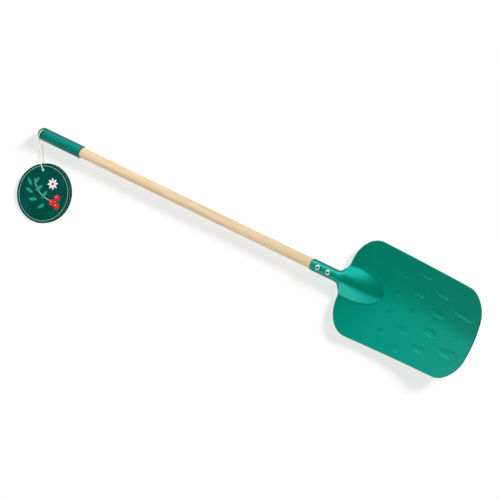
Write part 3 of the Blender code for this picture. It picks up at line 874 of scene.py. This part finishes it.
def sheet_mesh(name, grid, thickness):
    """A closed mesh around a grid of mid-sheet points, its cut edges rounded."""
    along = np.gradient(grid, axis=0)
    across = np.gradient(grid, axis=1)
    normal = unit(np.cross(along, across))
    rows, columns = grid.shape[:2]
    numbers = np.arange(rows * columns).reshape(rows, columns)
    loop = np.concatenate([numbers[0, :-1], numbers[:-1, -1], numbers[-1, :0:-1], numbers[:0:-1, 0]])
    points = grid.reshape(-1, 3)
    normals = normal.reshape(-1, 3)
    edge = points[loop]
    tangent = unit(np.roll(edge, -1, axis=0) - np.roll(edge, 1, axis=0))
    outward = unit(np.cross(tangent, normals[loop]))
    half = thickness / 2
    places = [points + normals * half, points - normals * half]
    for step in range(1, RIM_STEPS):
        turn = math.pi * step / RIM_STEPS
        places.append(edge + (normals[loop] * math.cos(turn) + outward * math.sin(turn)) * half)
    count = rows * columns
    near, far = numbers[:-1, :-1], numbers[1:, :-1]
    quads = np.stack([near, far, far + 1, near + 1], axis=-1).reshape(-1, 4)
    faces = [quads, quads[:, ::-1] + count]
    rings = [loop]
    for step in range(RIM_STEPS - 1):
        rings.append(np.arange(len(loop)) + 2 * count + step * len(loop))
    rings.append(loop + count)
    for ring, following in zip(rings, rings[1:]):
        faces.append(np.stack([ring, following, np.roll(following, -1), np.roll(ring, -1)], axis=-1))
    mesh = bpy.data.meshes.new(name)
    mesh.from_pydata(np.concatenate(places).tolist(), [], np.concatenate(faces).tolist())
    bm = bmesh.new()
    bm.from_mesh(mesh)
    bmesh.ops.recalc_face_normals(bm, faces=bm.faces)
    bm.to_mesh(mesh)
    bm.free()
    mesh.shade_smooth()
    return mesh


def screw_places():
    return [Matrix.Translation((SOCKET_RIM_X + x, 0.0, SCREW_HEAD_Z)) for x in SCREW_FROM_RIM]


def screw_hole_cutters():
    radius = SCREW_SHANK_RADIUS + FIT_GAP
    depth = SCREW_LENGTH + SCREW_HOLE_SPARE
    cutters = []
    for place in screw_places():
        bm = lathe([(0.0, -depth), (radius, -depth), (radius, SHEET), (0.0, SHEET)], 32)
        bm.transform(place)
        cutters.append(new_object("screw_hole", bm))
    return cutters


def make_blade(material):
    blade = link_mesh("pressed_blade", sheet_mesh("pressed_blade", blade_grid(), SHEET), material)
    cut_out(blade, *screw_hole_cutters())
    dress(blade, "blade_paint", "blade")


# Handle


def make_dowel(material):
    length = DOWEL_BOX[1].x - DOWEL_BOX[0].x
    corner_radius = DOWEL_RADIUS - DOWEL_ROUND_OFF
    profile = [(0.0, 0.0)]
    profile += arc(corner_radius, DOWEL_ROUND_OFF, DOWEL_ROUND_OFF, -90.0, 0.0, 5)
    for i in range(1, DOWEL_STEPS):
        profile.append((DOWEL_RADIUS, length * i / DOWEL_STEPS))
    profile += arc(corner_radius, length - DOWEL_ROUND_OFF, DOWEL_ROUND_OFF, 0.0, 90.0, 5)
    profile.append((0.0, length))
    bm = lathe(profile, DOWEL_SIDES)
    bm.transform(along_x(DOWEL_BOX[0].x))
    dowel = new_object("turned_dowel", bm, material)
    cut_out(dowel, *screw_hole_cutters())
    shade_round(dowel, 40.0)
    dress(dowel, "pale_wood", "handle_dowel")


def make_grip(material):
    bore = DOWEL_RADIUS + FIT_GAP
    fillet = GRIP_RIM_FILLET
    straight = GRIP_LENGTH - fillet - GRIP_RADIUS
    profile = [(0.0, 0.0)]
    profile += arc(0.0, GRIP_RADIUS, GRIP_RADIUS, DOME_START, 0.0, 22)
    for i in range(1, GRIP_STEPS):
        profile.append((GRIP_RADIUS, GRIP_RADIUS + straight * i / GRIP_STEPS))
    profile += arc(GRIP_RADIUS - fillet, GRIP_LENGTH - fillet, fillet, 0.0, 90.0, 6)
    profile += [(bore, GRIP_LENGTH), (bore, GRIP_SOLID_END), (0.0, GRIP_SOLID_END)]
    bm = lathe(profile, GRIP_SIDES)
    bm.transform(along_x(GRIP_END_X))
    grip = new_object("moulded_grip", bm, material)
    reach = GRIP_RADIUS * 1.3
    hole = lathe([(0.0, -reach), (HANG_HOLE_RADIUS, -reach), (HANG_HOLE_RADIUS, reach), (0.0, reach)], 40)
    hole.transform(Matrix.Rotation(-HANG_HOLE_TILT, 4, "X"))
    hole.transform(Matrix.Translation((GRIP_END_X + HANG_HOLE_FROM_END, 0.0, AXIS_Z)))
    cut_out(grip, new_object("hole", hole))
    rounding = grip.modifiers.new("soft_edges", "BEVEL")
    rounding.width = GRIP_SOFT_EDGE
    rounding.segments = 3
    rounding.limit_method = "ANGLE"
    rounding.angle_limit = math.radians(50.0)
    apply_modifiers(grip)
    shade_round(grip, 40.0)
    dress(grip, "grip_plastic", "grip_sleeve")


# Screws


def screw_body():
    """Shank with a cut thread and a pan head, as one turned mesh; the head's seat is at z = 0."""
    rings = []
    turns = [2 * math.pi * side / SCREW_SIDES for side in range(SCREW_SIDES)]
    for i in range(SCREW_SHANK_STEPS + 1):
        height = -SCREW_LENGTH * (1 - i / SCREW_SHANK_STEPS)
        taper = min(1.0, (height + SCREW_LENGTH) / SCREW_POINT)
        thread = min(1.0, max(0.0, -height / THREAD_PITCH - 1.5))
        ring = []
        for turn in turns:
            phase = (height / THREAD_PITCH - turn / (2 * math.pi)) % 1.0
            ridge = max(0.0, 1 - abs(phase - 0.5) * 4)
            radius = (SCREW_SHANK_RADIUS - THREAD_DEPTH * thread * (1 - ridge)) * max(taper, 0.04)
            ring.append((radius * math.cos(turn), radius * math.sin(turn), height))
        rings.append(ring)
    rounding = SCREW_HEAD_ROUNDING
    crown_start = SCREW_HEAD_HEIGHT * (1 - SCREW_CROWN_SHARE)
    head = [(SCREW_HEAD_RADIUS - SCREW_HEAD_CHAMFER, 0.0), (SCREW_HEAD_RADIUS, SCREW_HEAD_CHAMFER)]
    head += arc(SCREW_HEAD_RADIUS - rounding, crown_start - rounding, rounding, 0.0, 72.0, 8)
    for share in (0.62, 0.45, 0.25):
        height = SCREW_HEAD_HEIGHT * (1 - SCREW_CROWN_SHARE * share**1.6)
        head.append((SCREW_HEAD_RADIUS * share, height))
    for radius, height in head:
        rings.append([(radius * math.cos(turn), radius * math.sin(turn), height) for turn in turns])
    bm = bmesh.new()
    made = [[bm.verts.new(place) for place in ring] for ring in rings]
    point = bm.verts.new((0.0, 0.0, -SCREW_LENGTH))
    crown = bm.verts.new((0.0, 0.0, SCREW_HEAD_HEIGHT))
    for i in range(SCREW_SIDES):
        j = (i + 1) % SCREW_SIDES
        bm.faces.new((point, made[0][j], made[0][i]))
        bm.faces.new((made[-1][i], made[-1][j], crown))
        for low, high in zip(made, made[1:]):
            bm.faces.new((low[i], low[j], high[j], high[i]))
    bmesh.ops.recalc_face_normals(bm, faces=bm.faces)
    return bm


def recess_cutter(place, material):
    """A cross recess with tapered wings, as a closed cutter that passes its material, steel painted dark as
    the recess's shade, to the faces it cuts.
    """
    bm = bmesh.new()
    outline = []
    wing_end = ((RECESS_REACH, -RECESS_HALF_WIDTH), (RECESS_REACH, RECESS_HALF_WIDTH))
    corner = RECESS_HALF_WIDTH * RECESS_CORNER_SHARE
    for quarter in range(4):
        spin = Matrix.Rotation(math.pi / 2 * quarter, 3, "Z")
        for x, y in (*wing_end, (corner, corner)):
            outline.append(spin @ Vector((x, y, 0.0)))
    top = [bm.verts.new((p.x * 1.25, p.y * 1.1, RECESS_DEPTH)) for p in outline]
    floor = [bm.verts.new((p.x * 0.5, p.y * 0.6, -RECESS_DEPTH)) for p in outline]
    bm.faces.new(top)
    bm.faces.new(reversed(floor))
    for i in range(len(top)):
        j = (i + 1) % len(top)
        bm.faces.new((floor[i], floor[j], top[j], top[i]))
    bmesh.ops.recalc_face_normals(bm, faces=bm.faces)
    bm.transform(place @ Matrix.Translation((0.0, 0.0, SCREW_HEAD_HEIGHT)))
    return new_object("recess", bm, material)


def make_screws(material, recess_shade_material):
    for place, turn, node in zip(screw_places(), SCREW_TURNS, ("screw_rear", "screw_front")):
        bm = screw_body()
        bm.transform(place)
        screw = new_object("turned_" + node, bm, material)
        # The recess faces take steel painted dark: painted shade in the cross recess.
        cut_out(screw, recess_cutter(place @ Matrix.Rotation(turn, 4, "Z"), recess_shade_material))
        shade_round(screw, 30.0)
        dress(screw, "bright_steel", node)


# Tag


def tag_frame(height):
    """X runs from the hole to the leaf's middle, and the leaf slopes down to the floor at its far edge."""
    slope = math.asin(TAG_HOLE_LIFT / (TAG_RADIUS + TAG_HOLE_FROM_CENTRE))
    place = Matrix.Translation((*TAG_HOLE_SPOT, TAG_HOLE_LIFT + TAG_FLOOR_GAP))
    heading = Matrix.Rotation(TAG_DIRECTION, 4, "Z")
    tilt = Matrix.Rotation(slope, 4, "Y")
    return place @ heading @ tilt @ Matrix.Translation((0.0, 0.0, height))


def dress_leaf(node, top, back, edge):
    """The card leaf's own shape is right, so it stays and gets its finishes: top, back and cut edge."""
    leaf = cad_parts[node]
    leaf.data.materials.clear()
    for material in (top, back, edge):
        leaf.data.materials.append(material)
    for face in leaf.data.polygons:
        up = (leaf.matrix_world.to_3x3() @ face.normal).normalized().z
        if abs(up) < 0.5:
            face.material_index = 2
        else:
            face.material_index = int(up < 0.0)
    return leaf


# String


def rounded_line(points, step):
    """Points at about even steps along a smooth curve through the route's own points."""
    ends = [points[0] * 2 - points[1]] + points + [points[-1] * 2 - points[-2]]
    fine = []
    for before, start, end, after in zip(ends, ends[1:], ends[2:], ends[3:]):
        for i in range(12):
            t = i / 12
            straight = 2 * start + (end - before) * t
            bend = (2 * before - 5 * start + 4 * end - after) * t**2
            twist = (3 * start - before - 3 * end + after) * t**3
            fine.append(0.5 * (straight + bend + twist))
    fine.append(points[-1])
    total = sum((b - a).length for a, b in zip(fine, fine[1:]))
    count = round(total / step)
    line, gone, wanted = [fine[0]], 0.0, 1
    for a, b in zip(fine, fine[1:]):
        span = (b - a).length
        while wanted < count and gone + span >= wanted * total / count:
            line.append(a.lerp(b, (wanted * total / count - gone) / span))
            wanted += 1
        gone += span
    line.append(fine[-1])
    return line


def tube_faces(bm, line, outline):
    """A closed tube along a line; outline(gone, turn) gives its radius from the way gone and the turn."""
    side = Vector((0.0, 0.0, 1.0))
    rings = []
    gone = 0.0
    for i, place in enumerate(line):
        ahead = (line[min(i + 1, len(line) - 1)] - line[max(i - 1, 0)]).normalized()
        side = (side - ahead * side.dot(ahead)).normalized()
        other = ahead.cross(side)
        if i:
            gone += (place - line[i - 1]).length
        ring = []
        for k in range(STRING_SIDES):
            turn = 2 * math.pi * k / STRING_SIDES
            reach = outline(gone, turn)
            spot = place + side * math.cos(turn) * reach + other * math.sin(turn) * reach
            ring.append(bm.verts.new(spot))
        rings.append(ring)
    for low, high in zip(rings, rings[1:]):
        for k in range(STRING_SIDES):
            n = (k + 1) % STRING_SIDES
            bm.faces.new((low[k], low[n], high[n], high[k]))
    bm.faces.new(reversed(rings[0]))
    bm.faces.new(rings[-1])


def twisted(radius):
    """Outline of a three-ply cord: three round lobes that turn as they run."""

    def outline(gone, turn):
        lobe = abs(math.cos(1.5 * (turn - 2 * math.pi * STRING_TURNS_PER_METRE * gone)))
        return radius * (1 - STRING_LOBE_SHARE + STRING_LOBE_SHARE * lobe)

    return outline


def make_knot(material):
    """A small tied knot with two cut ends."""
    line = []
    for i in range(KNOT_STEPS + 1):
        t = 2 * math.pi * i / KNOT_STEPS
        x = math.sin(t) + 2 * math.sin(2 * t)
        y = math.cos(t) - 2 * math.cos(2 * t)
        line.append(KNOT_SPOT + Vector((x, y, -1.1 * math.sin(3 * t))) * KNOT_SCALE)
    bm = bmesh.new()
    tube_faces(bm, line, twisted(STRING_RADIUS * KNOT_CORD_SHARE))
    for swing in (-1.0, 1.0):
        tail = []
        for i in range(TAIL_STEPS + 1):
            share = i / TAIL_STEPS
            out = Vector((-0.6 - 4.4 * share, swing * (0.3 + 1.8 * share), -0.25 - 0.8 * share * share))
            tail.append(KNOT_SPOT + out * MM)
        tube_faces(bm, tail, twisted(STRING_RADIUS * TAIL_CORD_SHARE))
    bmesh.ops.recalc_face_normals(bm, faces=bm.faces)
    knot = new_object("tied_knot", bm, material)
    shade_round(knot, 60.0)
    return dress(knot, "pale_cord", "string_knot")


def make_string(material):
    line = rounded_line([Vector(point) * MM for point in STRING_ROUTE], STRING_STEP)
    bm = bmesh.new()
    tube_faces(bm, line, twisted(STRING_RADIUS))
    bmesh.ops.recalc_face_normals(bm, faces=bm.faces)
    string = new_object("twisted_string", bm, material)
    shade_round(string, 60.0)
    dress(string, "pale_cord", "tag_string")
    knot = make_knot(material)


def main():
    bpy.context.scene.view_settings.view_transform = "Standard"
    make_camera()
    make_lights(make_floor())
    make_room()
    back = plain_card()
    edge = cut_card()
    leaves = [dress_leaf("tag_rear", back, back, edge), dress_leaf("tag_front", printed_card(), back, edge)]
    make_string(pale_cord())
    make_blade(blade_paint())
    make_dowel(pale_wood())
    make_grip(grip_plastic())
    # The screws' cross recesses take steel painted dark as shade.
    make_screws(bright_steel(), recess_painted_shade())


main()
